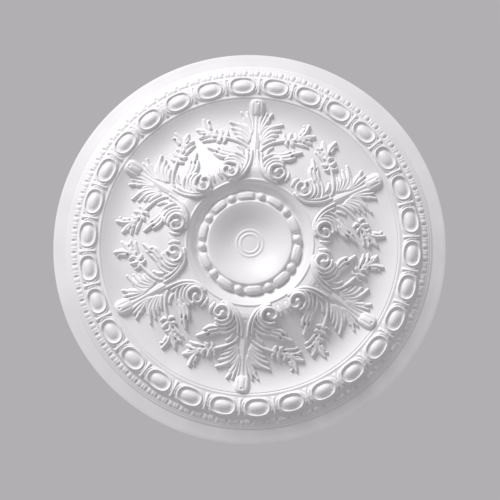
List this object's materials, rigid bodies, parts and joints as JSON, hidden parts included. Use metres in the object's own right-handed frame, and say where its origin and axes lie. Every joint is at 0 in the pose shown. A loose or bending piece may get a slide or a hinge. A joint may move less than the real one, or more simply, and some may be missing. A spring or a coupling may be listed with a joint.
{
  "type": "ceiling rose",
  "caption": "Round ceiling rose with a plain border, a band of framed eggs, leafy sprays on a conical field and a dished middle for a pendant lamp.",
  "frame": {"origin": "centre of the flat back, where it meets the ceiling", "axes": "+Z up, out of the back into the ceiling; the ornament faces down, -Z; +X to the right and -Y up as the picture shows it"},
  "size_m": [0.6994, 0.6994, 0.065],
  "materials": {
    "moulding": "satin white primer"
  },
  "bodies": {
    "root": {"ceiling_rose": "moulding"}
  },
  "joints": []
}
